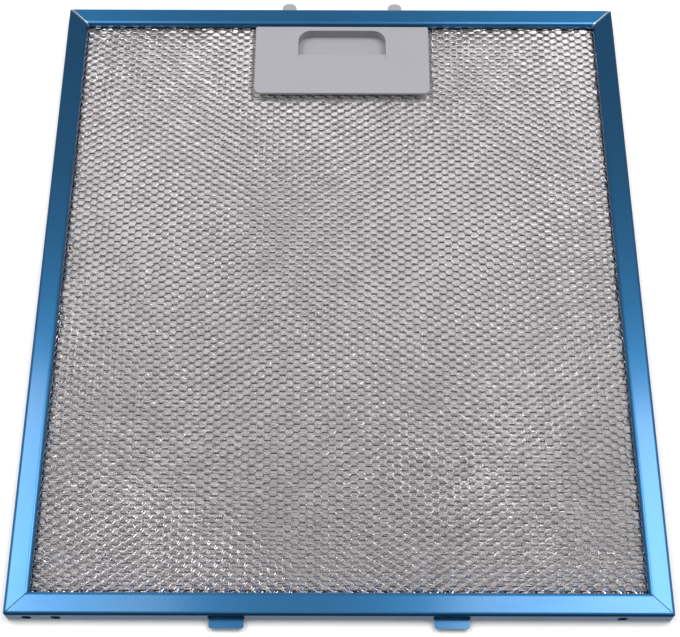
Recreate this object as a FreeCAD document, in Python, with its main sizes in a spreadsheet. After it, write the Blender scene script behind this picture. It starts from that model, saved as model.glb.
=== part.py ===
"""Cooker hood grease filter: a folded channel frame, a pack of expanded metal sheets and a sprung latch.

Millimetres. The filter lies on its back: X runs across, +Y towards the latch, +Z out of the front mesh.
The origin is at the middle of the back, in the plane that the back of the frame rests on.
"""
import FreeCAD, Part
import Sketcher
import math
import os
import re

# Driving dimensions: name, millimetres, what it is
SIZES = [
    ("frame_width", "267", "frame, across"),
    ("frame_length", "305", "frame, from lug wall to latch wall"),
    ("frame_depth", "8", "frame, back to front"),
    ("sheet_gauge", "0.6", "thickness of the folded strip"),
    ("bend_inside", "0.9", "inner radius of the bends beside the wall"),
    ("lip_inside", "0.7", "inner radius of the bend at the back lip"),
    ("front_inside", "1.1", "inner radius of the bend at the front lip"),
    ("face_width", "9.6", "width of the front and back faces"),
    ("back_lip", "1.6", "height of the back lip"),
    ("corner_radius", "1.2", "outer corners of the frame"),
    ("mitre_gap", "0.3", "open seam of the mitred corners"),
    ("lug_spacing", "90", "between the middles of the lugs"),
    ("lug_width", "14", "width of a lug"),
    ("lug_reach", "4", "how far a lug stands out of the wall"),
    ("lug_height", "3.2", "upper face of a lug above the back"),
    ("lug_bend", "0.4", "inner radius of a lug's bend"),
    ("lug_relief", "0.4", "side clearance of the window that a lug is lanced from"),
    ("lug_corner", "0.9", "rounded corners of a lug"),
    ("lug_bridge", "0.4", "flat wall left above the window"),
    ("drain_inset", "20.5", "drain hole, from the side of the frame"),
    ("drain_bore", "4", "diameter of the drain and clinch holes"),
    ("drain_height", "3.6", "middle of the drain holes above the back"),
    ("clinch_inset", "8.9", "clinch hole, from the side of the frame"),
    ("lap_length", "14", "tab that joins the ends of the strip"),
    ("lap_height", "4.8", "height of that tab"),
    ("mesh_tuck", "5", "how far the sheets reach into the channel"),
    ("mesh_play", "0.1", "clearance between the sheets and the lips"),
    ("pack_depth", "3.4", "all the sheets together"),
    ("face_sheet", "0.8", "front or back sheet over its ridges"),
    ("ridge_height", "0.4", "raised strands of the front and back sheets"),
    ("row_pitch", "3.9", "from one row of strands to the next"),
    ("valley_width", "0.5", "flat between two rows"),
    ("strand_gap", "0.5", "ends of the rows to the side lips"),
    ("inner_sheets", "3", "number of sheets inside the pack"),
    ("slit_length", "42", "opened slit, along the row"),
    ("slit_width", "2.4", "opened slit, across the row"),
    ("slit_bond", "6", "metal left between two slits of a row"),
    ("slit_rows", "3", "rows of strands from one row of slits to the next"),
    ("latch_shift", "0.7", "latch to the right of the frame's middle"),
    ("plate_width", "84.4", "latch plate, across"),
    ("plate_length", "40.1", "latch plate, along the filter"),
    ("plate_gauge", "1.3", "thickness of the latch plate"),
    ("plate_gap", "0.5", "latch plate to the frame's lip"),
    ("plate_lift", "0.4", "latch plate above the mesh"),
    ("plate_corner", "3.2", "lower corners of the latch plate"),
    ("plate_shoulder", "1.2", "upper corners of the latch plate"),
    ("plate_edge", "0.5", "rounded rim of the latch plate"),
    ("pocket_width", "42.6", "finger pocket, across"),
    ("pocket_length", "14.1", "finger pocket, along the filter"),
    ("pocket_inset", "2.6", "finger pocket, from the plate's upper edge"),
    ("pocket_corner", "6.5", "upper corners of the finger pocket"),
    ("lead_length", "3.7", "sloping lead into the pocket"),
    ("lead_drop", "0.8", "how far the lead falls"),
    ("cup_wall", "1.2", "wall of the pocket's cup"),
    ("cup_floor", "1.3", "floor of the pocket's cup"),
    ("cup_clear", "0.2", "cup above the plane of the back"),
    ("hook_reach", "2.2", "hooks that keep the slider on its base"),
    ("hook_gauge", "0.45", "thickness of those hooks"),
    ("latch_travel", "6.3", "how far the latch slides"),
    ("slide_play", "0.2", "running clearance of the slider"),
    ("tongue_spacing", "52", "between the middles of the tongues"),
    ("tongue_width", "6.9", "width of a tongue"),
    ("tongue_gauge", "2", "thickness of a tongue"),
    ("tongue_reach", "5.5", "how far a tongue stands out of the frame"),
    ("tongue_corner", "2.9", "rounded end of a tongue"),
    ("tongue_play", "0.3", "tongue to the lip and to its slot"),
    ("tongue_ramp", "1", "chamfer under a tongue's end"),
    ("shoulder_width", "11.9", "stop shoulders on a tongue, across"),
    ("shoulder_length", "4.7", "stop shoulders along the tongue"),
    ("root_length", "11", "block that joins a tongue to the plate"),
    ("spring_spacing", "64", "between the axes of the springs"),
    ("spring_mean", "2.9", "mean diameter of a spring"),
    ("spring_wire", "0.5", "square wire of a spring"),
    ("spring_length", "19.6", "length of a spring at rest"),
    ("spring_turns", "7", "turns of a spring"),
    ("spring_seat", "0.1", "clearance at each end of a spring"),
    ("spigot_bore", "1.5", "diameter of the pegs inside the springs"),
    ("spigot_length", "3", "length of those pegs"),
    ("rib_inset", "14.6", "spring rib, from the plate's upper edge"),
    ("rib_gauge", "2", "thickness of the spring rib"),
    ("tub_wall", "1.2", "walls of the latch base"),
    ("tub_play", "0.5", "base to the mesh around it and to the moving parts in it"),
    ("base_rim", "4", "how far the base reaches behind the mesh"),
    ("base_gauge", "0.85", "back plate of the base"),
    ("base_corner", "3", "rounded corners of the base"),
    ("hook_bar", "1.2", "bar of the base that hooks behind the back lip"),
    ("seat_play", "0.3", "base to the frame"),
]

# Places that follow from the driving dimensions
PLACES = [
    ("half_width", "frame_width / 2"),
    ("half_length", "frame_length / 2"),
    ("bend_radius", "bend_inside + sheet_gauge"),
    ("lip_bend", "lip_inside + sheet_gauge"),
    ("front_bend", "front_inside + sheet_gauge"),
    ("mesh_floor", "back_lip + mesh_play"),
    ("mesh_top", "mesh_floor + pack_depth"),
    ("lip_edge", "mesh_top + mesh_play"),
    ("lip_face", "half_length - face_width"),
    ("side_face", "half_width - face_width"),
    ("wall_face", "half_length - sheet_gauge"),
    ("lug_root", "lug_height - sheet_gauge - lug_bend"),
    ("lug_middle", "lug_spacing / 2"),
    ("mesh_half_width", "side_face + mesh_tuck"),
    ("mesh_half_length", "lip_face + mesh_tuck"),
    ("inner_sheet", "(pack_depth - 2 * face_sheet) / inner_sheets"),
    ("slit_pitch", "slit_length + slit_bond"),
    ("slit_step", "row_pitch * slit_rows"),
    ("plate_head", "lip_face - plate_gap"),
    ("plate_foot", "plate_head - plate_length"),
    ("plate_under", "mesh_top + plate_lift"),
    ("plate_top", "plate_under + plate_gauge"),
    ("pocket_head", "plate_head - pocket_inset"),
    ("pocket_foot", "pocket_head - pocket_length"),
    ("pocket_floor", "cup_clear + cup_floor"),
    ("cup_half", "pocket_width / 2 + cup_wall"),
    ("tongue_middle", "tongue_spacing / 2"),
    ("tongue_top", "lip_edge - tongue_play"),
    ("tongue_under", "tongue_top - tongue_gauge"),
    ("tongue_tip", "half_length + tongue_reach"),
    ("root_head", "lip_face - 2 * plate_gap"),
    ("shoulder_head", "wall_face - slide_play"),
    ("rib_face", "plate_head - rib_inset"),
    ("spring_middle", "spring_spacing / 2"),
    ("spring_half", "(spring_mean + spring_wire) / 2"),
    ("spring_axis", "(back_lip + plate_under) / 2"),
    ("spring_foot", "rib_face - spring_seat - spring_length"),
    ("tub_inside", "max(spring_middle + spring_half; tongue_middle + shoulder_width / 2) + tub_play"),
    ("tub_half", "tub_inside + tub_wall"),
    ("tub_floor", "spring_foot - spring_seat"),
    ("tub_foot", "tub_floor - tub_wall"),
    ("window_half", "cup_half + tub_play"),
    ("window_foot", "pocket_foot - cup_wall - latch_travel - tub_play"),
    ("window_head", "pocket_head + cup_wall + tub_play"),
    ("bridge_under", "back_lip + mesh_play"),
    ("bridge_top", "tongue_under - slide_play"),
    ("base_under", "back_lip - base_gauge"),
    ("base_head", "lip_face - seat_play"),
    ("base_hook", "lip_face + sheet_gauge + seat_play"),
]

doc = FreeCAD.newDocument("grease_filter")
sheet = doc.addObject("Spreadsheet::Sheet", "size")
for row, (name, value, meaning) in enumerate(SIZES, start=1):
    sheet.set(f"A{row}", value)
    sheet.setAlias(f"A{row}", name)
    sheet.set(f"B{row}", meaning)
for row, (name, formula) in enumerate(PLACES, start=1):
    sheet.set(f"D{row}", f"={formula}")
    sheet.setAlias(f"D{row}", name)
doc.recompute()

NAMES = {entry[0] for entry in SIZES + PLACES}
# Two places nearer than this, in millimetres, are one
CLOSE = 0.01
# Flat sides in one turn of a spring, and the sweep's number for mitred corners
TURN_SIDES = 8
RIGHT_CORNER = 1


def tie(formula):
    """The formula as an expression that reads its names from the sheet."""
    return re.sub(r"[a-z_]+", lambda word: f"size.{word[0]}" if word[0] in NAMES else word[0], str(formula))


def number(formula):
    """The formula's present value."""
    return float(sheet.evalExpression(tie(formula)))


def new_body(label, across="0"):
    """An empty body with its own label, moved across the filter."""
    body = doc.addObject("PartDesign::Body", label)
    body.Label = label
    body.setExpression("Placement.Base.x", tie(across))
    return body


def origin(body, role):
    """The body's own plane or axis with that role."""
    return next(feature for feature in body.Origin.OriginFeatures if feature.Role == role)


def new_sketch(body, name, plane, offset="0"):
    """A sketch parallel to one of the body's planes, moved along its normal."""
    sketch = body.newObject("Sketcher::SketchObject", name)
    sketch.AttachmentSupport = (origin(body, plane), [""])
    sketch.MapMode = "FlatFace"
    sketch.setExpression("AttachmentOffset.Base.z", tie(offset))
    return sketch


def dimension(sketch, kind, target, formula):
    """A dimension of the sketch that follows the formula."""
    index = sketch.addConstraint(Sketcher.Constraint(kind, *target, number(formula)))
    sketch.setExpression(f"Constraints[{index}]", tie(formula))


def join(sketch, first, second):
    """The two ends, each given as geometry and end number, become one point."""
    sketch.addConstraint(Sketcher.Constraint("Coincident", *first, *second))


def draw_outline(sketch, corners):
    """A closed outline. Each corner is (across, up), or (across, up, radius) where two square edges meet."""
    count = len(corners)
    spots = [(number(corner[0]), number(corner[1])) for corner in corners]
    ends = []
    for index, corner in enumerate(corners):
        if len(corner) == 2:
            ends.append([(corner[0], corner[1])])
            continue
        tangents = []
        for other in (index - 1, (index + 1) % count):
            steps = [math.copysign(1, there - here) if abs(there - here) > CLOSE else 0
                     for here, there in zip(spots[index], spots[other])]
            tangents.append(tuple(f"({place}) + ({corner[2]}) * {step:.0f}"
                                  for place, step in zip(corner[:2], steps)))
        ends.append(tangents)
    lines = []
    for index in range(count):
        start = ends[index][-1]
        stop = ends[(index + 1) % count][0]
        points = [FreeCAD.Vector(number(x), number(y), 0) for x, y in (start, stop)]
        line = sketch.addGeometry(Part.LineSegment(*points))
        for end, place in ((1, start), (2, stop)):
            rounded = len(corners[(index + end - 1) % count]) == 3
            if end == 1 or rounded:
                dimension(sketch, "DistanceX", (line, end), place[0])
                dimension(sketch, "DistanceY", (line, end), place[1])
        lines.append(line)
    for index, corner in enumerate(corners):
        before = (lines[index - 1], 2)
        after = (lines[index], 1)
        if len(corner) == 2:
            join(sketch, before, after)
        else:
            draw_bend(sketch, ends[index], spots[index], corner[2], before, after)


def draw_bend(sketch, tangents, corner, radius, before, after):
    """A quarter circle between two square edges, tangent to both."""
    first, last = (FreeCAD.Vector(number(x), number(y), 0) for x, y in tangents)
    centre = first + last - FreeCAD.Vector(*corner, 0)
    angles = [math.atan2(point.y - centre.y, point.x - centre.x) for point in (first, last)]
    turns_left = math.sin(angles[1] - angles[0]) > 0
    start, stop = angles if turns_left else angles[::-1]
    if stop < start:
        stop += 2 * math.pi
    circle = Part.Circle(centre, FreeCAD.Vector(0, 0, 1), number(radius))
    arc = sketch.addGeometry(Part.ArcOfCircle(circle, start, stop))
    join(sketch, before, (arc, 1 if turns_left else 2))
    join(sketch, after, (arc, 2 if turns_left else 1))
    dimension(sketch, "Radius", (arc,), radius)


def draw_circle(sketch, across, up, bore):
    """A circle by its middle and its diameter."""
    middle = FreeCAD.Vector(number(across), number(up), 0)
    circle = sketch.addGeometry(Part.Circle(middle, FreeCAD.Vector(0, 0, 1), number(bore) / 2))
    dimension(sketch, "DistanceX", (circle, 3), across)
    dimension(sketch, "DistanceY", (circle, 3), up)
    dimension(sketch, "Diameter", (circle,), bore)


def box(left, low, right, high, radius=None):
    """The corners of a rectangle, all with one radius where it is given."""
    corners = [(left, low), (right, low), (right, high), (left, high)]
    return [corner + (radius,) for corner in corners] if radius else corners


def extrude(body, kind, name, plane, offset, outlines, length, side="One side", turned=False):
    """A Pad or Pocket of the outlines. One that changes nothing is an error."""
    before = body.Shape.Volume if body.Tip else 0
    sketch = new_sketch(body, f"{name}_outline", plane, offset)
    for outline in outlines:
        if isinstance(outline, tuple):
            draw_circle(sketch, *outline)
        else:
            draw_outline(sketch, outline)
    feature = body.newObject(f"PartDesign::{kind}", name)
    feature.Profile = sketch
    feature.SideType = side
    feature.Reversed = turned
    feature.setExpression("Length", tie(length))
    sketch.Visibility = False
    doc.recompute()
    if abs(body.Shape.Volume - before) < CLOSE:
        raise ValueError(f"{body.Label}: {name} changes nothing")
    return feature


def mirror(body, name, features):
    """The features again on the other side of the middle."""
    copy = body.newObject("PartDesign::Mirrored", name)
    copy.Originals = features
    copy.MirrorPlane = (origin(body, "YZ_Plane"), [""])
    body.Tip = copy
    doc.recompute()
    return copy


def repeat(body, name, features, steps):
    """The features in rows. Each step is an axis with its spacing and its number of copies."""
    pattern = body.newObject("PartDesign::LinearPattern", name)
    pattern.Originals = features
    for suffix, (axis, spacing, copies) in zip(("", "2"), steps):
        setattr(pattern, f"Direction{suffix}", (origin(body, axis), [""]))
        setattr(pattern, f"Mode{suffix}", "Spacing")
        pattern.setExpression(f"Offset{suffix}", tie(spacing))
        pattern.setExpression(f"Occurrences{suffix}", tie(copies))
    body.Tip = pattern
    doc.recompute()
    return pattern


def finish_edges(body, kind, name, size, wanted):
    """A Fillet or Chamfer on each edge of the body that the test wants."""
    edges = [f"Edge{index}" for index, edge in enumerate(body.Shape.Edges, start=1) if wanted(edge)]
    if not edges:
        raise ValueError(f"{body.Label}: {name} finds no edge")
    bare = body.Tip
    feature = body.newObject(f"PartDesign::{kind}", name)
    feature.Base = (bare, edges)
    feature.setExpression("Radius" if kind == "Fillet" else "Size", tie(size))
    doc.recompute()
    return feature


def lies_at(edge, **places):
    """Whether every end of the edge has the given coordinates, such as z='plate_top'."""
    return all(abs(getattr(vertex, axis.upper()) - number(formula)) < CLOSE
               for axis, formula in places.items() for vertex in edge.Vertexes)


def build_frame():
    """One strip, roll-formed to a channel with two lips, notched at the mitres and folded round the pack."""
    body = new_body("frame")
    route = new_sketch(body, "strip_route", "XY_Plane")
    draw_outline(route, [("0", "-half_length"), ("half_width", "-half_length"), ("half_width", "half_length"),
                         ("-half_width", "half_length"), ("-half_width", "-half_length")])
    section = new_sketch(body, "strip_section", "YZ_Plane")
    outer, inner = "-half_length", "-half_length + sheet_gauge"
    lip, lip_back = "-half_length + face_width", "-half_length + face_width - sheet_gauge"
    front, front_under = "frame_depth", "frame_depth - sheet_gauge"
    draw_outline(section, [
        (outer, "0", "bend_radius"), (lip, "0", "lip_bend"), (lip, "back_lip"), (lip_back, "back_lip"),
        (lip_back, "sheet_gauge", "lip_inside"), (inner, "sheet_gauge", "bend_inside"),
        (inner, front_under, "bend_inside"), (lip_back, front_under, "front_inside"),
        (lip_back, "lip_edge"), (lip, "lip_edge"), (lip, front, "front_bend"), (outer, front, "bend_radius"),
    ])
    doc.recompute()
    strip = body.newObject("PartDesign::AdditivePipe", "strip")
    strip.Profile = section
    strip.Spine = (route, [f"Edge{index}" for index in range(1, len(route.Geometry) + 1)])
    strip.Transition = "Right corner"
    doc.recompute()

    signs = [(-1, -1), (1, -1), (1, 1), (-1, 1)]
    corners = []
    for across, along in signs:
        edge_x, edge_y = f"{across} * half_width", f"{along} * half_length"
        corners.append((edge_x, edge_y, across, along))
    round_corners(body, corners)

    seams = [seam(corner, "bend_radius") for corner in corners]
    extrude(body, "Pocket", "front_mitres", "XY_Plane", "frame_depth", seams, "frame_depth - lip_edge")
    extrude(body, "Pocket", "back_mitres", "XY_Plane", "0", seams, "back_lip", turned=True)
    extrude(body, "Pocket", "strip_ends", "XY_Plane", "frame_depth", [seam(corners[0], "-mitre_gap")],
            "frame_depth")
    lap = box("-half_width + sheet_gauge", "(frame_depth - lap_height) / 2",
              "-half_width + sheet_gauge + lap_length", "(frame_depth + lap_height) / 2")
    extrude(body, "Pad", "lap_tab", "XZ_Plane", "wall_face", [lap], "sheet_gauge", turned=True)

    holes = [("-half_width + drain_inset", "drain_height", "drain_bore"),
             ("half_width - drain_inset", "drain_height", "drain_bore")]
    extrude(body, "Pocket", "drain_holes", "XZ_Plane", "half_length", holes, "sheet_gauge")
    clinch = ("-half_width + clinch_inset", "drain_height", "drain_bore")
    extrude(body, "Pocket", "clinch_hole", "XZ_Plane", "half_length", [clinch], "2 * sheet_gauge")

    slots = []
    for side in (-1, 1):
        middle, half = f"latch_shift + {side} * tongue_middle", "(tongue_width / 2 + tongue_play)"
        slots.append(box(f"{middle} - {half}", "tongue_under - tongue_play",
                         f"{middle} + {half}", "tongue_top + tongue_play"))
    extrude(body, "Pocket", "tongue_slots", "XZ_Plane", "-half_length", slots, "sheet_gauge", turned=True)
    add_lugs(body)
    return body


def round_corners(body, corners):
    """Takes the sharp tip off each outer corner, down to a quarter circle."""
    tips = [[(f"{x} - {across} * corner_radius", y), (x, y), (x, f"{y} - {along} * corner_radius"),
             (f"{x} - {across} * corner_radius * (1 - sqrt(0.5))",
              f"{y} - {along} * corner_radius * (1 - sqrt(0.5))")]
            for x, y, across, along in corners]
    return extrude(body, "Pocket", "corner_tips", "XY_Plane", "frame_depth", tips, "frame_depth")


def seam(corner, stop):
    """A narrow strip along a corner's diagonal, from inside the lips to a distance from the outer corner."""
    x, y, across, along = corner
    half = "mitre_gap * sqrt(0.125)"
    inside = "(face_width + mitre_gap)"
    points = []
    for depth, side in ((inside, 1), (f"({stop})", 1), (f"({stop})", -1), (inside, -1)):
        points.append((f"{x} - {across} * ({depth} + {side} * {half})",
                       f"{y} - {along} * ({depth} - {side} * {half})"))
    return points


def add_lugs(body):
    """Two lugs cut from the lower wall on three sides and bent out square, each leaving its window behind."""
    wall, wall_inside = "-half_length", "-wall_face"
    bend = "-half_length - lug_bend"
    window = box("lug_middle - lug_width / 2 - lug_relief", "lug_root",
                 "lug_middle + lug_width / 2 + lug_relief", "frame_depth - bend_radius - lug_bridge")
    cut = extrude(body, "Pocket", "lug_window", "XZ_Plane", "half_length", [window], "sheet_gauge")
    profile = [
        (wall, "lug_root - sheet_gauge"), (wall_inside, "lug_root - sheet_gauge"),
        (wall_inside, "lug_height", "lug_bend + sheet_gauge"), ("-half_length - lug_reach", "lug_height"),
        ("-half_length - lug_reach", "lug_height - sheet_gauge"),
        (wall, "lug_height - sheet_gauge", "lug_bend"),
    ]
    lug = extrude(body, "Pad", "lug", "YZ_Plane", "lug_middle", [profile], "lug_width", side="Symmetric")
    mirror(body, "second_lug", [cut, lug])
    finish_edges(body, "Fillet", "lug_corners", "lug_corner",
                 lambda edge: lies_at(edge, y="-half_length - lug_reach")
                 and edge.BoundBox.XLength < CLOSE)


def build_sheet(label, floor, gauge, ridges, slit_share):
    """An expanded metal sheet with a notch for the latch.

    ridges is 1 for strands raised to the front, -1 to the back and 0 for a plain inner sheet.
    slit_share spreads the rows of slits: 1 keeps each row, 2 keeps one row in two.
    """
    body = new_body(label)
    base = f"{gauge} - ridge_height" if ridges else gauge
    base_floor = f"{floor} + ridge_height" if ridges < 0 else floor
    outline = box("-mesh_half_width", "-mesh_half_length", "mesh_half_width", "mesh_half_length")
    extrude(body, "Pad", "flat", "XY_Plane", base_floor, [outline], base)
    if ridges:
        add_ridges(body, f"{base_floor} + {base}" if ridges > 0 else base_floor, ridges)
    notch = box("latch_shift - tub_half - tub_play", "tub_foot - tub_play",
                "latch_shift + tub_half + tub_play", "mesh_half_length + tub_play")
    extrude(body, "Pocket", "latch_notch", "XY_Plane", f"{floor} + {gauge}", [notch], gauge)
    add_slits(body, f"{floor} + {gauge}", gauge, slit_share)
    return body


def add_ridges(body, level, side):
    """Rows of raised strands, each a low ridge that leans towards the latch."""
    start = "-floor(lip_face / row_pitch) * row_pitch"
    width = "row_pitch - valley_width"
    sink = f"{level} - {side} * ridge_height / 4"
    low, high = f"{start} - ({width}) / 2", f"{start} + ({width}) / 2"
    crest = (f"{start} + ({width}) / 4", f"{level} + {side} * ridge_height")
    profile = [(low, sink), (high, sink), (high, level), crest, (low, level)]
    ridge = extrude(body, "Pad", "strand_row", "YZ_Plane", "0", [profile],
                    "2 * (side_face - strand_gap)", side="Symmetric")
    repeat(body, "strand_rows", [ridge], [("Y_Axis", "row_pitch", "2 * floor(lip_face / row_pitch) + 1")])


def add_slits(body, level, depth, share):
    """Opened slits in staggered rows below the latch, each a slim lozenge between two strands."""
    columns = "floor(2 * side_face / slit_pitch)"
    step = f"slit_step * {share}"
    lowest = "(0.5 - floor(lip_face / row_pitch) + 1) * row_pitch"
    rows = f"floor((tub_foot - tub_play - slit_width - ({lowest})) / ({step}))"
    for name, column_count, shift, first, row_count in (
            ("slit", columns, "0", lowest, f"floor(({rows}) / 2) + 1"),
            ("staggered_slit", f"{columns} - 1", "slit_pitch / 2", f"{lowest} + {step}",
             f"floor((({rows}) - 1) / 2) + 1")):
        middle = f"-(({columns}) - 1) * slit_pitch / 2 + {shift}"
        lozenge = [(f"{middle} - slit_length / 2", first), (middle, f"{first} - slit_width / 2"),
                   (f"{middle} + slit_length / 2", first), (middle, f"{first} + slit_width / 2")]
        cut = extrude(body, "Pocket", name, "XY_Plane", level, [lozenge], depth)
        repeat(body, f"{name}_rows", [cut], [("X_Axis", "slit_pitch", column_count),
                                             ("Y_Axis", f"2 * {step}", row_count)])


def build_slider():
    """The moulded handle: a plate with a finger pocket, two tongues with stop shoulders, ribs and hooks."""
    body = new_body("latch_slider", "latch_shift")
    half = "plate_width / 2"
    plate = [(f"-{half}", "plate_foot", "plate_corner"), (half, "plate_foot", "plate_corner"),
             (half, "plate_head", "plate_shoulder"), (f"-{half}", "plate_head", "plate_shoulder")]
    extrude(body, "Pad", "plate", "XY_Plane", "plate_under", [plate], "plate_gauge")
    finish_edges(body, "Fillet", "plate_rim", "plate_edge", lambda edge: lies_at(edge, z="plate_top"))
    cup = box("-cup_half", "pocket_foot - cup_wall", "cup_half", "pocket_head + cup_wall", "pocket_corner")
    extrude(body, "Pad", "cup", "XY_Plane", "cup_clear", [cup], "plate_under - cup_clear")

    lead = [("pocket_foot - lead_length", "plate_top"), ("pocket_foot + cup_wall", "plate_top - lead_drop"),
            ("pocket_foot + cup_wall", "plate_top + plate_edge"),
            ("pocket_foot - lead_length", "plate_top + plate_edge")]
    extrude(body, "Pocket", "lead_in", "YZ_Plane", "0", [lead], "pocket_width", side="Symmetric")
    side = "pocket_width / 2"
    pocket = [(f"-{side}", "pocket_foot", "cup_wall"), (side, "pocket_foot", "cup_wall"),
              (side, "pocket_head", "pocket_corner"), (f"-{side}", "pocket_head", "pocket_corner")]
    extrude(body, "Pocket", "finger_pocket", "XY_Plane", "plate_top", [pocket], "plate_top - pocket_floor")

    left, right = "tongue_middle - tongue_width / 2", "tongue_middle + tongue_width / 2"
    stop_left, stop_right = "tongue_middle - shoulder_width / 2", "tongue_middle + shoulder_width / 2"
    root = extrude(body, "Pad", "tongue_root", "XY_Plane", "tongue_under",
                   [box(left, "root_head - root_length", right, "root_head")], "plate_under - tongue_under")
    blade = [(left, "root_head - root_length"), (right, "root_head - root_length"),
             (right, "shoulder_head - shoulder_length"), (stop_right, "shoulder_head - shoulder_length"),
             (stop_right, "shoulder_head"), (right, "shoulder_head"), (right, "tongue_tip", "tongue_corner"),
             (left, "tongue_tip", "tongue_corner"), (left, "shoulder_head"), (stop_left, "shoulder_head"),
             (stop_left, "shoulder_head - shoulder_length"), (left, "shoulder_head - shoulder_length")]
    tongue = extrude(body, "Pad", "tongue", "XY_Plane", "tongue_under", [blade], "tongue_gauge")

    rib = extrude(body, "Pad", "spring_rib", "XY_Plane", "spring_axis - spring_half",
                  [box("spring_middle - spring_half", "rib_face", "spring_middle + spring_half",
                       "rib_face + rib_gauge")], "plate_under - spring_axis + spring_half")
    peg = extrude(body, "Pad", "spring_peg", "XZ_Plane", "-rib_face",
                  [("spring_middle", "spring_axis", "spigot_bore")], "spigot_length")
    hook = extrude(body, "Pad", "hook", "XY_Plane", "cup_clear",
                   [box("cup_half - cup_wall", "pocket_foot", "cup_half + hook_reach",
                        "pocket_head - pocket_corner")], "hook_gauge")
    mirror(body, "left_half", [root, tongue, rib, peg, hook])
    finish_edges(body, "Chamfer", "tongue_ramps", "tongue_ramp",
                 lambda edge: lies_at(edge, y="tongue_tip", z="tongue_under"))
    return body


def build_base():
    """The moulding behind the mesh: a back plate, a tub for the springs and a hook over the back lip."""
    body = new_body("latch_base", "latch_shift")
    rim = box("-tub_half - base_rim", "tub_foot - base_rim",
              "tub_half + base_rim", "base_head", "base_corner")
    window = box("-window_half", "window_foot", "window_half", "window_head", "cup_wall")
    extrude(body, "Pad", "back_plate", "XY_Plane", "base_under", [rim, window], "base_gauge")
    walls = [("-tub_half", "base_head"), ("-tub_half", "tub_foot"), ("tub_half", "tub_foot"),
             ("tub_half", "base_head"), ("tub_inside", "base_head"), ("tub_inside", "tub_floor"),
             ("-tub_inside", "tub_floor"), ("-tub_inside", "base_head")]
    extrude(body, "Pad", "tub", "XY_Plane", "base_under", [walls], "plate_under - slide_play - base_under")
    riser = box("-tub_half", "window_head", "tub_half", "base_head")
    extrude(body, "Pad", "riser", "XY_Plane", "base_under", [riser], "bridge_top - base_under")
    bridge = box("-tub_half", "window_head", "tub_half", "wall_face - seat_play")
    extrude(body, "Pad", "bridge", "XY_Plane", "bridge_under", [bridge], "bridge_top - bridge_under")
    bar = box("-tub_inside", "base_hook", "tub_inside", "base_hook + hook_bar")
    extrude(body, "Pad", "hook_bar", "XY_Plane", "sheet_gauge + slide_play", [bar],
            "bridge_under - sheet_gauge - slide_play")
    post = extrude(body, "Pad", "post", "XY_Plane", "bridge_under",
                   [box("tub_inside", "base_hook", "tub_half", "wall_face - seat_play")],
                   "frame_depth - sheet_gauge - bend_inside - bridge_under")
    peg = extrude(body, "Pad", "spring_peg", "XZ_Plane", "-tub_floor",
                  [("spring_middle", "spring_axis", "spigot_bore")], "spigot_length", turned=True)
    mirror(body, "left_half", [post, peg])
    return body


def build_spring(label, side):
    """A compression spring along the slide, from the base's peg to the slider's, in flat-sided turns."""
    radius = number("spring_mean / 2")
    wire = number("spring_wire")
    steps = int(number("spring_turns")) * TURN_SIDES
    rise = (number("spring_length") - wire) / steps
    route = []
    for step in range(steps + 1):
        angle = 2 * math.pi * step / TURN_SIDES
        rung = wire / 2 + step * rise
        route.append(FreeCAD.Vector(radius * math.cos(angle), rung, radius * math.sin(angle)))
    square = [FreeCAD.Vector(radius + across * wire / 2, wire / 2 + along * wire / 2, 0)
              for across, along in ((-1, -1), (1, -1), (1, 1), (-1, 1), (-1, -1))]
    spine = Part.Wire(Part.makePolygon(route))
    coil = spine.makePipeShell([Part.makePolygon(square)], True, False, RIGHT_CORNER)
    piece = doc.addObject("Part::Feature", label)
    piece.Label = label
    piece.Shape = coil
    piece.setExpression("Placement.Base.x", tie(f"latch_shift + {side} * spring_middle"))
    piece.setExpression("Placement.Base.y", tie("spring_foot"))
    piece.setExpression("Placement.Base.z", tie("spring_axis"))
    doc.recompute()
    return piece


def build_pack():
    """The face sheets and the inner sheets between them, each lying on the one below."""
    sheets = [build_sheet("back_mesh", "mesh_floor", "face_sheet", -1, 2)]
    for layer in range(int(number("inner_sheets"))):
        floor = f"mesh_floor + face_sheet + {layer} * inner_sheet"
        sheets.append(build_sheet(f"inner_mesh_{layer + 1}", floor, "inner_sheet", 0, 3))
    sheets.append(build_sheet("front_mesh", "mesh_top - face_sheet", "face_sheet", 1, 1))
    return sheets


def main():
    """Builds every piece, checks it and writes one file for each."""
    pieces = [build_frame(), *build_pack(), build_slider(), build_base(),
              build_spring("latch_spring_left", -1), build_spring("latch_spring_right", 1)]
    doc.recompute()
    for item in doc.Objects:
        if {"Invalid", "Error"} & set(item.State):
            raise ValueError(f"{item.Label} failed: {item.State}")
    for piece in pieces:
        if piece.Shape.isNull() or not piece.Shape.isValid() or len(piece.Shape.Solids) != 1:
            raise ValueError(f"{piece.Label} has no single valid solid")
    os.makedirs("parts", exist_ok=True)
    for piece in pieces:
        piece.Shape.exportStep(f"parts/{piece.Label}.step")
        extent = piece.Shape.BoundBox
        print(f"{piece.Label}: {piece.Shape.Volume:.0f} mm3, x {extent.XMin:.2f} to {extent.XMax:.2f},"
              f" y {extent.YMin:.2f} to {extent.YMax:.2f}, z {extent.ZMin:.2f} to {extent.ZMax:.2f}")


main()
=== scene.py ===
# %% [markdown]
# # A cooker hood grease filter
#
# A folded frame of blue-filmed aluminium holds five layers of expanded aluminium mesh, and a grey plastic
# latch sits at one edge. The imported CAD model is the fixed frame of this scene. Every new piece is worked
# out in that same frame, so nothing has to be fitted by eye.

# %% The frame
import math
from collections import namedtuple

import bpy
import numpy as np
from mathutils import Matrix


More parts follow.
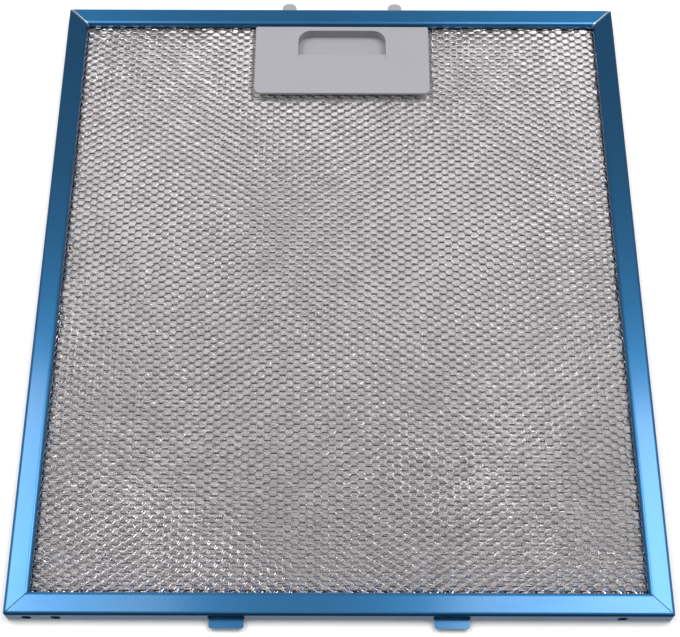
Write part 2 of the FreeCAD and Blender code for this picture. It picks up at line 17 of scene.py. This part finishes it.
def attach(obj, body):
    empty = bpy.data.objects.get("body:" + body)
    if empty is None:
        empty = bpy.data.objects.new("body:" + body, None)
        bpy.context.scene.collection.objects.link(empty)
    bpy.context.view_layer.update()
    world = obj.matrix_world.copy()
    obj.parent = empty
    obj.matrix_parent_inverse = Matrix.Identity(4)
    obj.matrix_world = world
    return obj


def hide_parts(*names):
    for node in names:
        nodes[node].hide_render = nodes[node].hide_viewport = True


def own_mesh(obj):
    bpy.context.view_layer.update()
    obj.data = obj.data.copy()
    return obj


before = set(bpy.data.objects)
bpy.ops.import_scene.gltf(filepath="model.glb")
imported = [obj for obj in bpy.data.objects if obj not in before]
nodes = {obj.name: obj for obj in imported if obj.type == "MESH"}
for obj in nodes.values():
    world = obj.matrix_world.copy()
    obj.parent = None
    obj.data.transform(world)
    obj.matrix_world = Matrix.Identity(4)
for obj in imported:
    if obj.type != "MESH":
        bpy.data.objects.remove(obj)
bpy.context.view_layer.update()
MM = 0.001

# %% [markdown]
# ## Camera
#
# The photograph looks down at the filter from the lug side, about 62 degrees above the table. A camera could
# be moved about until the picture fits. Here its place and focal length come from the four edges of the
# frame, whose real lengths are known, so the render lies on the photograph to about a pixel.

# %% Camera
PHOTO_WIDTH = 680
FOCAL_PIXELS = 1454.93
SENSOR_WIDTH = 36.0
EYE = np.array([-0.153, -315.62, 572.72]) * MM
TARGET = np.array([0.070, -15.752, 0.0]) * MM
ROLL = math.radians(0.196)

camera_data = bpy.data.cameras.new("camera")
camera_data.sensor_fit = "HORIZONTAL"
camera_data.sensor_width = SENSOR_WIDTH
camera_data.lens = SENSOR_WIDTH * FOCAL_PIXELS / PHOTO_WIDTH
camera_data.clip_start = 0.01
back = (EYE - TARGET) / np.linalg.norm(EYE - TARGET)
level = np.cross([0.0, 0.0, 1.0], back)
level /= np.linalg.norm(level)
upright = np.cross(back, level)
right = math.cos(ROLL) * level + math.sin(ROLL) * upright
up = math.cos(ROLL) * upright - math.sin(ROLL) * level
pose = np.eye(4)
pose[:3, :] = np.column_stack([right, up, back, EYE])
camera = bpy.data.objects.new("camera", camera_data)
camera.matrix_world = Matrix(pose)
scene = bpy.context.scene
scene.collection.objects.link(camera)
scene.camera = camera
print(f"lens {camera_data.lens:.2f} mm, {np.linalg.norm(EYE - TARGET):.3f} m away")

# %% [markdown]
# ## Nodes
#
# The room and every material are small graphs of nodes. Each node could take a line for itself, one for each
# setting and one for each link. One helper does all three, so a graph reads from its pattern to its end. The
# first two nodes of the room show its use: they tell how far a direction points along the filter.


# %% First nodes of the room
def add(owner, kind, settings=None, **links):
    """A node of that kind in a material or a world.

    Settings go to its properties, or to its inputs by name or number. Links feed its inputs from outputs and
    are named for the input, with _ for a space, or for its number, as in input4.
    """
    tree = owner.node_tree
    node = tree.nodes.new(kind)
    for key, value in (settings or {}).items():
        if isinstance(key, str) and hasattr(node, key):
            setattr(node, key, value)
        else:
            node.inputs[key].default_value = value
    for key, output in links.items():
        place = int(key[5:]) if key.startswith("input") else key.replace("_", " ")
        tree.links.new(output, node.inputs[place])
    return node


world = bpy.data.worlds.new("pale room")
world.use_nodes = True
world.node_tree.nodes.clear()
direction = add(world, "ShaderNodeTexCoord").outputs["Generated"]
along_filter = add(world, "ShaderNodeSeparateXYZ", Vector=direction).outputs["Y"]
print("nodes of the room:", [node.name for node in world.node_tree.nodes])

# %% [markdown]
# ## Room
#
# Bright metal shows little but what is around it, so the room is half of the picture. A picture of a real
# room could light the scene, but a short list of tones along the filter can be matched to the photograph.
# It runs from the lug side (-1) to the latch side (1). Towards the lugs it is dark, with one weak strip: the
# steep strands of the front mesh and the bend of the lower rail mirror that. The bright strip round -0.4 and
# the slope before it light the wide strands behind. The dip at 0.6 gives the rails by the latch their deep
# blue.

# %% Room
ROOM_TONES = [
    (-0.98, 0.03), (-0.93, 0.05), (-0.87, 0.2), (-0.8, 0.06), (-0.71, 0.34), (-0.56, 0.62), (-0.46, 0.9),
    (-0.38, 0.9), (-0.3, 0.62), (0.1, 0.72), (0.35, 0.58), (0.6, 0.28), (0.72, 0.4), (0.84, 0.66),
    (0.92, 1.05), (0.99, 1.2),
]
scene.view_settings.view_transform = "Standard"
ramp_place = add(world, "ShaderNodeMapRange", {"From Min": -1.0, "From Max": 1.0}, Value=along_filter)
room_tone = add(world, "ShaderNodeValToRGB", Fac=ramp_place.outputs[0])
stops = room_tone.color_ramp.elements
for place, tone in ROOM_TONES:
    stops.new((place + 1) / 2).color = (tone, tone, tone, 1.0)
stops.remove(stops[0])
stops.remove(stops[-1])
walls = add(world, "ShaderNodeBackground", Color=room_tone.outputs[0])
add(world, "ShaderNodeOutputWorld", Surface=walls.outputs[0])
scene.world = world
print(f"room of {len(stops)} tones")

# %% [markdown]
# ## Softboxes
#
# The rails are dull mirrors. They are bright where they see one of the two softboxes above the sides, and
# they darken slowly past its inner edge, so each box is a strong panel with a weaker strip beside it. Area
# lights are chosen because their edges show in metal as those of real panels do. All look straight down.

# %% Softboxes
SOFTBOX_HEIGHT = 1.5
# Middle and size in metres, then radiance
SOFTBOXES = {
    "softbox_left": ((-0.745, 0.25), (0.57, 0.84), 8.0),
    "softbox_left_edge": ((-0.345, 0.24), (0.23, 0.82), 3.1),
    "softbox_right": ((0.695, 0.23), (0.67, 0.78), 8.2),
    "softbox_right_edge": ((0.26, 0.23), (0.2, 0.78), 5.2),
}
for name, (middle, size, radiance) in SOFTBOXES.items():
    lamp = bpy.data.lights.new(name, "AREA")
    lamp.shape = "RECTANGLE"
    lamp.size, lamp.size_y = size
    # The power of an even panel is its radiance times pi times its area.
    lamp.energy = radiance * math.pi * size[0] * size[1]
    holder = bpy.data.objects.new(name, lamp)
    holder.location = (*middle, SOFTBOX_HEIGHT)
    scene.collection.objects.link(holder)
    print(f"{name}: {lamp.energy:.1f} W")

# %% [markdown]
# ## Floor
#
# White paper carries the shadow. The ground of the photograph was cut out to white, but its metal mirrors no
# white paper: the wall of the lower rail is dark. In a studio, black card would keep that light away. Here
# the floor is hidden from reflections, which does the same.


# %% Paper
# Uncoated paper: matt and almost white, so that the ground stays blank. Its fibres are drawn 1.1 mm long, as
# real ones would not show.
FIBRE_SIZE = MM / 0.9


def linear(hex_colour):
    """sRGB hex to linear RGBA: over 12.92 near black, otherwise ((c + 0.055) / 1.055) to the power 2.4."""
    channels = np.array([int(hex_colour[at:at + 2], 16) for at in (1, 3, 5)]) / 255
    light = np.where(channels <= 0.04045, channels / 12.92, ((channels + 0.055) / 1.055) ** 2.4)
    return (*light, 1.0)


def new_material(name):
    """An empty material, with its Object coordinates, which are metres in the shared frame."""
    material = bpy.data.materials.new(name)
    material.use_nodes = True
    material.node_tree.nodes.clear()
    return material, add(material, "ShaderNodeTexCoord").outputs["Object"]


paper, paper_place = new_material("white backdrop paper")
fibres = add(paper, "ShaderNodeTexNoise", {"Scale": 1 / FIBRE_SIZE, "Detail": 3.0}, Vector=paper_place)
paper_tone = add(paper, "ShaderNodeMix", {"data_type": "RGBA", 6: linear("#f4f4f4"), 7: linear("#fafafa")},
                 Factor=fibres.outputs["Fac"])
paper_surface = add(paper, "ShaderNodeBsdfPrincipled", {"Roughness": 0.9}, Base_Color=paper_tone.outputs[2])
add(paper, "ShaderNodeOutputMaterial", Surface=paper_surface.outputs[0])
print(f"{paper.name}: fibres of {FIBRE_SIZE / MM:.1f} mm")

# %% Floor
FLOOR_REACH = 3.0


def mesh_piece(name, points, faces, material, smooth=False):
    """A mesh object from an array of points in metres and a list of faces, with one material."""
    mesh = bpy.data.meshes.new(name)
    mesh.from_pydata(points, [], faces)
    mesh.polygons.foreach_set("use_smooth", np.full(len(mesh.polygons), smooth))
    mesh.materials.append(material)
    mesh.update()
    piece = bpy.data.objects.new(name, mesh)
    scene.collection.objects.link(piece)
    triangles = len(mesh.loops) - 2 * len(mesh.polygons)
    print(f"{name}: {len(points)} points, {triangles} triangles")
    return piece


corners = np.array([(-1, -1, 0), (1, -1, 0), (1, 1, 0), (-1, 1, 0)]) * FLOOR_REACH
floor = mesh_piece("backdrop_floor", corners, [(0, 1, 2, 3)], paper)
floor.visible_glossy = False

# %% [markdown]
# ## Blue film on aluminium strip
#
# The frame is aluminium strip under a clear blue film, roll-formed and then folded at the corners. Where the
# sheet was cut for the mitres, its bare edge shows as a bright line beside the latch. An image could carry
# all of this, but the place of a point is enough to tell: it lies on a side rail or on an end rail according
# to which edge of the frame is nearer, and on a mitre where both are equally near.

# %% Film: where a point lies
HALF_WIDTH, HALF_LENGTH = 133.5 * MM, 152.5 * MM
MITRE = HALF_WIDTH - HALF_LENGTH
BARE_WIDTH = 0.55 * MM

film, film_place = new_material("blue film on aluminium strip")
split = add(film, "ShaderNodeSeparateXYZ", Vector=film_place)
across = add(film, "ShaderNodeMath", {"operation": "ABSOLUTE"}, input0=split.outputs["X"])
along = add(film, "ShaderNodeMath", {"operation": "ABSOLUTE"}, input0=split.outputs["Y"])
balance = add(film, "ShaderNodeMath", {"operation": "SUBTRACT"}, input0=across.outputs[0],
              input1=along.outputs[0])
on_side = add(film, "ShaderNodeMath", {"operation": "GREATER_THAN", 1: MITRE}, input0=balance.outputs[0])
on_mitre = add(film, "ShaderNodeMath", {"operation": "COMPARE", 1: MITRE, 2: BARE_WIDTH},
               input0=balance.outputs[0])
by_latch = add(film, "ShaderNodeMath", {"operation": "GREATER_THAN", 1: 0.0}, input0=split.outputs["Y"])
bare = add(film, "ShaderNodeMath", {"operation": "MULTIPLY"}, input0=on_mitre.outputs[0],
           input1=by_latch.outputs[0])
print(f"mitres where |x| - |y| is {MITRE / MM:.1f} mm")

# %% Film: colour
# Blue dye in a clear film over metal: one deep blue, with faint clouds of about 25 mm.
CLOUD_SIZE = 25 * MM

clouds = add(film, "ShaderNodeTexNoise", {"Scale": 1 / CLOUD_SIZE, "Detail": 3.0}, Vector=film_place)
film_tone = add(film, "ShaderNodeMix", {"data_type": "RGBA", 6: linear("#206190"), 7: linear("#246796")},
                Factor=clouds.outputs["Fac"])
film_colour = add(film, "ShaderNodeMix", {"data_type": "RGBA", 7: linear("#e4eef6")},
                  Factor=bare.outputs[0], input6=film_tone.outputs[2])
print("film colours: blue, and bare metal at the mitres by the latch")

# %% [markdown]
# ## Rolling lines
#
# Rolling leaves fine lines along the strip. They blur what the metal mirrors across each rail, and keep it
# sharper along it. Thousands of modelled lines would be lost in the pixels. An anisotropic metal, whose
# roughness follows a stretched noise, gives the same blur, and a clear coat gives the gloss of the film.

# %% Film: rolling lines
# A satin blue mirror under a clear gloss. Real lines are much finer than the 0.33 mm drawn here, which just
# shows in the render.
LINE_LENGTH, LINE_WIDTH = 25 * MM, MM / 3


def dress(material, *names):
    """Gives the named CAD nodes one material."""
    for name in names:
        nodes[name].data.materials.clear()
        nodes[name].data.materials.append(material)
    print(f"{material.name}: {', '.join(names)}")


end_scale = (1 / LINE_LENGTH, 1 / LINE_WIDTH, 1 / LINE_WIDTH)
side_scale = (1 / LINE_WIDTH, 1 / LINE_LENGTH, 1 / LINE_WIDTH)
end_lines = add(film, "ShaderNodeMapping", {"Scale": end_scale}, Vector=film_place)
side_lines = add(film, "ShaderNodeMapping", {"Scale": side_scale}, Vector=film_place)
lines_place = add(film, "ShaderNodeMix", {"data_type": "VECTOR"}, Factor=on_side.outputs[0],
                  input4=end_lines.outputs[0], input5=side_lines.outputs[0])
rolling = add(film, "ShaderNodeTexNoise", {"Scale": 1.0, "Detail": 2.0}, Vector=lines_place.outputs[1])
film_rough = add(film, "ShaderNodeMapRange", {"To Min": 0.3, "To Max": 0.42}, Value=rolling.outputs["Fac"])
film_bump = add(film, "ShaderNodeBump", {"Strength": 0.08, "Distance": 0.05 * MM},
                Height=rolling.outputs["Fac"])
across_rail = add(film, "ShaderNodeMix", {"data_type": "VECTOR", 4: (0.0, 1.0, 0.0), 5: (1.0, 0.0, 0.0)},
                  Factor=on_side.outputs[0])
film_surface = add(film, "ShaderNodeBsdfPrincipled",
                   {"Metallic": 1.0, "Anisotropic": 0.75,
                    "Coat Weight": 0.4, "Coat IOR": 1.7, "Coat Roughness": 0.12},
                   Base_Color=film_colour.outputs[2], Roughness=film_rough.outputs[0],
                   Normal=film_bump.outputs[0], Tangent=across_rail.outputs[1])
add(film, "ShaderNodeOutputMaterial", Surface=film_surface.outputs[0])
dress(film, "frame")

# %% [markdown]
# ## Moulded plastic of the latch
#
# The handle and the base behind it are grey ABS, moulded in a tool with spark-eroded faces. The CAD solids
# already have every edge and pocket, so they only need a surface. An image of grain would need a UV map. A
# noise that changes roughness and normal needs none, and it keeps the grey even and the highlights soft.

# %% Latch plastic
# ABS: an even mid grey with a broad, weak sheen. The grain is drawn 0.35 mm wide, coarser than the real one,
# and the flow of the melt leaves faint clouds of 20 mm.
GRAIN_SIZE, FLOW_SIZE = 0.35 * MM, 20 * MM

plastic, plastic_place = new_material("grey moulded ABS")
grain = add(plastic, "ShaderNodeTexNoise", {"Scale": 1 / GRAIN_SIZE, "Detail": 2.0}, Vector=plastic_place)
flow = add(plastic, "ShaderNodeTexNoise", {"Scale": 1 / FLOW_SIZE, "Detail": 2.0}, Vector=plastic_place)
plastic_tone = add(plastic, "ShaderNodeMix",
                   {"data_type": "RGBA", 6: linear("#919197"), 7: linear("#95959b")},
                   Factor=flow.outputs["Fac"])
plastic_rough = add(plastic, "ShaderNodeMapRange", {"To Min": 0.38, "To Max": 0.5},
                    Value=grain.outputs["Fac"])
plastic_bump = add(plastic, "ShaderNodeBump", {"Strength": 0.12, "Distance": 0.04 * MM},
                   Height=grain.outputs["Fac"])
plastic_surface = add(plastic, "ShaderNodeBsdfPrincipled", {"IOR": 1.53},
                      Base_Color=plastic_tone.outputs[2], Roughness=plastic_rough.outputs[0],
                      Normal=plastic_bump.outputs[0])
add(plastic, "ShaderNodeOutputMaterial", Surface=plastic_surface.outputs[0])
dress(plastic, "latch_slider", "latch_base")

# %% [markdown]
# ## Expanded aluminium
#
# Thin aluminium sheet is slit and pulled open in one stroke. The metal comes from the mill bright, and the
# stroke leaves it a little rough. Each layer could have its own grey, but one material serves all five,
# because the tilt of a strand, and not its colour, decides whether it looks dark or bright.

# %% Expanded aluminium
# Mill-bright aluminium: a pale, slightly warm mirror, blurred enough to hide what it mirrors. Draw marks,
# at 0.7 mm coarser than real ones, break the glints up, and patches of 12 mm differ a little in tone.
MARK_SIZE, PATCH_SIZE = 0.7 * MM, 12 * MM

bright, bright_place = new_material("expanded aluminium")
patches = add(bright, "ShaderNodeTexNoise", {"Scale": 1 / PATCH_SIZE, "Detail": 4.0}, Vector=bright_place)
bright_tone = add(bright, "ShaderNodeMix", {"data_type": "RGBA", 6: linear("#d1cdce"), 7: linear("#e2dfe0")},
                  Factor=patches.outputs["Fac"])
marks = add(bright, "ShaderNodeTexNoise", {"Scale": 1 / MARK_SIZE, "Detail": 2.0}, Vector=bright_place)
bright_rough = add(bright, "ShaderNodeMapRange", {"To Min": 0.2, "To Max": 0.32}, Value=marks.outputs["Fac"])
bright_bump = add(bright, "ShaderNodeBump", {"Strength": 0.12, "Distance": 0.1 * MM},
                  Height=marks.outputs["Fac"])
bright_surface = add(bright, "ShaderNodeBsdfPrincipled", {"Metallic": 1.0},
                     Base_Color=bright_tone.outputs[2], Roughness=bright_rough.outputs[0],
                     Normal=bright_bump.outputs[0])
add(bright, "ShaderNodeOutputMaterial", Surface=bright_surface.outputs[0])
print(f"{bright.name}: draw marks of {MARK_SIZE / MM:.1f} mm")

# %% [markdown]
# ## Strands of the mesh
#
# A layer is a field of strands that run across the filter as waves with flat crests and troughs. Neighbours
# are half a wave apart, so the crest of one meets the trough of the next in a bond, and a six-sided opening
# is left between two bonds. A picture of holes on a flat sheet would be quicker, but it has no strands that
# stand on edge. Ribbons have real openings, through which the next layer shows, and real tilts.

# %% Strands of the mesh
# All sizes of the mesh are in millimetres. A sheet is tucked under the lips of the frame. The jitters are
# the spreads of the random steps.
OPENING_PITCH, ROW_STEP = 6.12, 1.91
LIP_X, LIP_Y = 123.9, 142.9
TUCK_X, TUCK_Y = 2.2, 2.3
SHEET_X, SHEET_Y = LIP_X + TUCK_X, LIP_Y + TUCK_Y
SPARE_WAVES, SPARE_ROWS = 3, 5
BOND_SHARE = 0.92
JITTER_X, JITTER_Y, JITTER_Z = 0.06, 0.05, 0.03
Strand = namedtuple("Strand", "section width gauge lean bond")
rng = np.random.default_rng(seed=11)


def strand_lines(strand, turn, shift, waver):
    """The middle lines of a sheet's strands: x and y, the height off the sheet's middle, and the lean.

    Along x a strand has four points in each wave: the two ends of the bond at the crest, and half a pitch on
    the two at the trough. The height of the wave is the row step less nearly the width that a strand covers,
    so that two strands meet in a bond. Every second row is upside down. Small random steps make each strand
    a little different. The sheet is shifted, and then turned in its own plane.
    """
    reach_x = SHEET_X * abs(math.cos(turn)) + SHEET_Y * abs(math.sin(turn))
    reach_y = SHEET_Y * abs(math.cos(turn)) + SHEET_X * abs(math.sin(turn))
    waves = int(2 * reach_x / OPENING_PITCH) + SPARE_WAVES
    rows = int(2 * reach_y / ROW_STEP) + SPARE_ROWS
    bond = strand.bond
    ends = np.array([-bond, bond, OPENING_PITCH - bond, OPENING_PITCH + bond]) / 2
    run = ((np.arange(waves) - waves / 2)[:, None] * OPENING_PITCH + ends).ravel()
    sway = np.tile([1.0, 1.0, -1.0, -1.0], waves)
    height = ROW_STEP - BOND_SHARE * strand.width * math.cos(math.radians(strand.lean))
    side = np.where(np.arange(rows) % 2, -1.0, 1.0)[:, None]
    x = run + rng.normal(0, JITTER_X, (rows, run.size)) + shift[0]
    y = (np.arange(rows)[:, None] - rows / 2) * ROW_STEP + side * sway * height / 2 + shift[1]
    y = y + rng.normal(0, JITTER_Y, y.shape)
    lift = rng.normal(0, JITTER_Z, y.shape)
    lean = np.radians(strand.lean + rng.normal(0, waver, y.shape))
    turned_x = x * math.cos(turn) - y * math.sin(turn)
    turned_y = x * math.sin(turn) + y * math.cos(turn)
    return turned_x, turned_y, lift, lean


print(f"openings every {OPENING_PITCH} mm along a row, rows every {ROW_STEP} mm")

# %% [markdown]
# ## Ribbons
#
# A strand is a thin section, wide across and thin through, that leans about x and is carried along its
# middle line. The lips of the frame press the pack flat at its edges. A lattice could bend each finished
# sheet, but a smooth step in the formula is exact and costs nothing.

# %% Ribbons
# The press starts a little inside the lips and takes a share of the height away over its length.
PACK_FLOOR = 1.7
PRESS_START, PRESS_LENGTH, PRESS_SHARE = 0.6, 2.4, 0.5


def ribbon_points(lines, strand, low, high):
    """The corners of the ribbons, as an array of rows, points, corners and xyz.

    A corner lies across the strand by a share of half its width and through it by a share of half its gauge,
    both turned by the lean about x. Heights are cut off at low and high. Past the lips they fall towards the
    floor of the pack, by the smooth step 3 t squared less 2 t cubed, to half of what they were.
    """
    x, y, lift, lean = lines
    across = strand.section[:, 0] * strand.width / 2
    through = strand.section[:, 1] * strand.gauge / 2
    cosine, sine = np.cos(lean)[..., None], np.sin(lean)[..., None]
    y = y[..., None] + across * cosine - through * sine
    z = ((low + high) / 2 + lift)[..., None] + across * sine + through * cosine
    x = np.broadcast_to(x[..., None], y.shape)
    past_lip = np.maximum(np.abs(x) - LIP_X, np.abs(y) - LIP_Y)
    step = np.clip((past_lip + PRESS_START) / PRESS_LENGTH, 0, 1)
    pressed = 1 - PRESS_SHARE * step ** 2 * (3 - 2 * step)
    z = PACK_FLOOR + pressed * (np.clip(z, low, high) - PACK_FLOOR)
    return np.stack([x, y, z], axis=-1)


def band_faces(shape, kept):
    """The faces of closed sections that are carried along paths, as four-sided bands and as caps.

    The shape counts paths, points of a path and corners of a section. Kept says which steps from one point
    to the next have a band. A cap closes each end of a run of bands.
    """
    numbers = np.arange(np.prod(shape)).reshape(shape)
    here, there = numbers[:, :-1][kept], numbers[:, 1:][kept]
    bands = np.stack([here, np.roll(here, -1, 1), np.roll(there, -1, 1), there], axis=-1).reshape(-1, 4)
    padded = np.pad(kept, ((0, 0), (1, 1)))
    heads = numbers[padded[:, 1:] & ~padded[:, :-1]][:, ::-1]
    tails = numbers[padded[:, :-1] & ~padded[:, 1:]]
    return bands, np.concatenate([heads, tails])


print(f"ribbons are pressed over {PRESS_LENGTH} mm at the lips")

# %% [markdown]
# ## Layers of the pack
#
# The front and back sheets have steep, narrow strands. They mirror the dark side of the room, so they show
# as dark dashes. The second layer lies almost flat and catches light from the latch side. The wide strands
# of the two backing layers mirror the slope up to the bright strip, and fill the openings with grey. One
# sheet could be copied five times, but then the layers would hide one another. Each has its own strands, and
# turns between them give a slow crossing pattern like that of the photograph. The inner layers end further
# from the latch than the outer ones, which leaves dark dashes below its plate.

# %% Layers of the pack
LATCH_SHIFT = 0.7
INNER_GAP = 0.2
BAR = np.array([(-1, -1), (1, -1), (1, 1), (-1, 1)])
WEDGE = np.array([(-1, -1), (1, 0), (-1, 1)])
FACE = Strand(section=BAR, width=0.54, gauge=0.14, lean=50, bond=2.4)
SECOND = Strand(section=WEDGE, width=0.7, gauge=0.14, lean=-9, bond=1.8)
BACKING = Strand(section=WEDGE, width=1.9, gauge=0.1, lean=33, bond=1.6)
# Strands end at the sides and at the notch for the latch.
Edges = namedtuple("Edges", "side notch_x notch_y")
OUTER = Edges(side=SHEET_X, notch_x=35.9, notch_y=106.3)
INNER = Edges(side=LIP_X - INNER_GAP, notch_x=43.5, notch_y=99.0)


def expanded_layer(name, replaced, strand, edges, low, high, turn, shift, waver):
    """One sheet of the pack, cut to its edges and notched for the latch, in place of its CAD node."""
    lines = strand_lines(strand, math.radians(turn), shift, waver)
    x, y = lines[:2]
    inside = (np.abs(x) < edges.side) & (np.abs(y) < SHEET_Y)
    inside &= (np.abs(x - LATCH_SHIFT) > edges.notch_x) | (y < edges.notch_y)
    points = ribbon_points(lines, strand, low, high)
    bands, caps = band_faces(points.shape[:3], inside[:, :-1] & inside[:, 1:])
    used, compact = np.unique(np.concatenate([bands.ravel(), caps.ravel()]), return_inverse=True)
    bands = compact[:bands.size].reshape(bands.shape)
    caps = compact[bands.size:].reshape(caps.shape)
    piece = mesh_piece(name, points.reshape(-1, 3)[used] * MM, [*bands.tolist(), *caps.tolist()], bright)
    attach(piece, "filter")
    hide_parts(replaced)
    return piece


# Strand, edges, lowest and highest z, turn in degrees, shift, and the spread of the lean in degrees
LAYERS = {
    ("front_strands", "front_mesh"): (FACE, OUTER, 4.2, 5.1, 0, (0.0, 0.0), 2.5),
    ("inner_strands_3", "inner_mesh_3"): (SECOND, INNER, 3.6, 4.5, 1.5, (0.6, 0.3), 2),
    ("inner_strands_2", "inner_mesh_2"): (BACKING, INNER, 3.0, 3.9, -9, (0.4, 1.1), 2),
    ("inner_strands_1", "inner_mesh_1"): (BACKING, INNER, 2.4, 3.3, 6, (2.3, 0.2), 2),
    ("back_strands", "back_mesh"): (FACE, OUTER, 1.7, 2.65, 0, (1.1, 0.5), 4),
}
for (name, replaced), layer in LAYERS.items():
    expanded_layer(name, replaced, *layer)

# %% [markdown]
# ## Latch springs
#
# Two springs push the handle out. Their wire is round, with a closed coil at each end, where the CAD solids
# have square wire. A Screw modifier makes an even helix, but not one whose pitch falls to the wire's own
# thickness at the ends. Here a circle is carried along a formula.

# %% Spring wire
# Drawn spring steel: a mid-grey mirror, mottled by drawing marks. At 0.4 mm they are coarser than real ones.
DRAW_SIZE = 0.4 * MM

steel, steel_place = new_material("bright spring wire")
drawing = add(steel, "ShaderNodeTexNoise", {"Scale": 1 / DRAW_SIZE, "Detail": 2.0}, Vector=steel_place)
steel_tone = add(steel, "ShaderNodeMix", {"data_type": "RGBA", 6: linear("#9a9a9c"), 7: linear("#bcbcbd")},
                 Factor=drawing.outputs["Fac"])
steel_rough = add(steel, "ShaderNodeMapRange", {"To Min": 0.2, "To Max": 0.35}, Value=drawing.outputs["Fac"])
steel_surface = add(steel, "ShaderNodeBsdfPrincipled", {"Metallic": 1.0},
                    Base_Color=steel_tone.outputs[2], Roughness=steel_rough.outputs[0])
add(steel, "ShaderNodeOutputMaterial", Surface=steel_surface.outputs[0])
print(f"{steel.name}: drawing marks of {DRAW_SIZE / MM:.1f} mm")

# %% Springs
# Millimetres, as for the mesh
SPRING_X, SPRING_Z, SPRING_FOOT, SPRING_LENGTH = 32.0, 3.55, 108.1, 19.6
COIL_RADIUS, WIRE_RADIUS, TURNS = 1.45, 0.25, 9
STEPS_OF_TURN, STEPS_OF_WIRE = 24, 10


def coil(name, node, middle_x):
    """A coil spring along y: a circle of the wire's radius, carried along a helix.

    The angle grows evenly. The height along y grows by one wire in the first turn and in the last, which
    makes the closed ends, and evenly by the rest of the length in the turns between.
    """
    share = np.linspace(0, 1, TURNS * STEPS_OF_TURN + 1)
    angle = 2 * np.pi * TURNS * share
    active = np.clip((share - 1 / TURNS) / (1 - 2 / TURNS), 0, 1)
    closed = np.clip(share * TURNS, 0, 1) + np.clip(share * TURNS - TURNS + 1, 0, 1)
    height = WIRE_RADIUS + closed * 2 * WIRE_RADIUS + active * (SPRING_LENGTH - 6 * WIRE_RADIUS)
    flat = np.zeros_like(angle)
    outward = np.stack([np.cos(angle), flat, np.sin(angle)], axis=-1)
    path = outward * COIL_RADIUS + np.stack([flat, height, flat], axis=-1)
    spin = np.linspace(0, 2 * np.pi, STEPS_OF_WIRE, endpoint=False)[None, :, None]
    ring = np.cos(spin) * outward[:, None, :] + np.sin(spin) * np.array([0, 1.0, 0])
    points = path[:, None, :] + WIRE_RADIUS * ring + [middle_x, SPRING_FOOT, SPRING_Z]
    bands, caps = band_faces((1, *points.shape[:2]), np.ones((1, len(path) - 1), dtype=bool))
    faces = [*bands.tolist(), *caps.tolist()]
    piece = mesh_piece(name, points.reshape(-1, 3) * MM, faces, steel, smooth=True)
    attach(piece, "filter")
    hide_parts(node)
    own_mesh(piece)
    return piece


coil("spring_coil_left", "latch_spring_left", LATCH_SHIFT - SPRING_X)
coil("spring_coil_right", "latch_spring_right", LATCH_SHIFT + SPRING_X)
